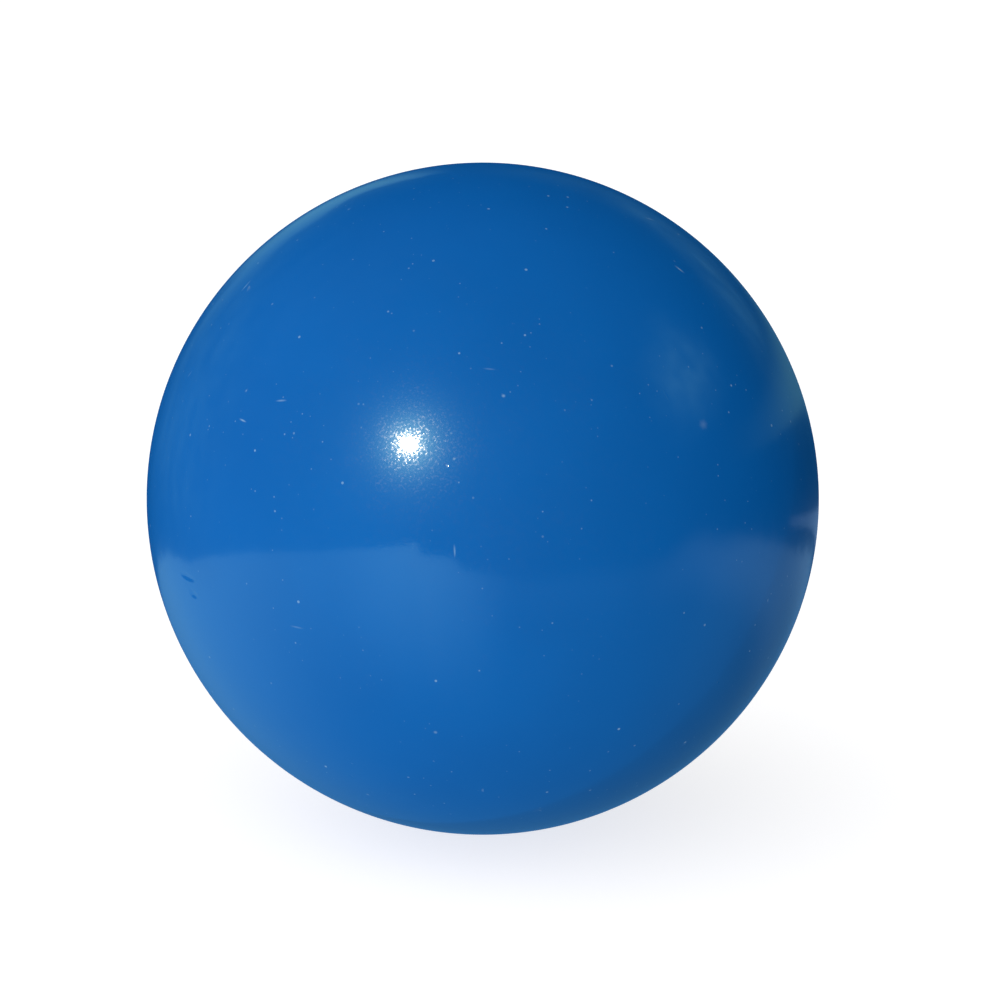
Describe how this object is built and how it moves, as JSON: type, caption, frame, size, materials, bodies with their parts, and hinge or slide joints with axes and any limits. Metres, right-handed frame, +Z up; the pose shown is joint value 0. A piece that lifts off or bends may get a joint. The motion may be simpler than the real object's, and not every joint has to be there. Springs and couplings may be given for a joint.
{
  "type": "croquet ball",
  "caption": "Smooth blue regulation croquet ball with a moulded two-part plastic cover bonded over a pressed cork and rubber core.",
  "frame": {"origin": "the centre of the ball", "axes": "+Z up through the pole of the upper half shell, square to the parting plane where the half shells meet; X and Y lie in that plane"},
  "size_m": [0.092, 0.092, 0.092],
  "materials": {
    "cover": "polished",
    "cork_rubber": "matte",
    "adhesive": "satin"
  },
  "bodies": {
    "root": {"upper_shell": "cover", "lower_shell": "cover", "composition_core": "cork_rubber", "bonding_film": "adhesive", "seam_adhesive": "adhesive"}
  },
  "joints": []
}
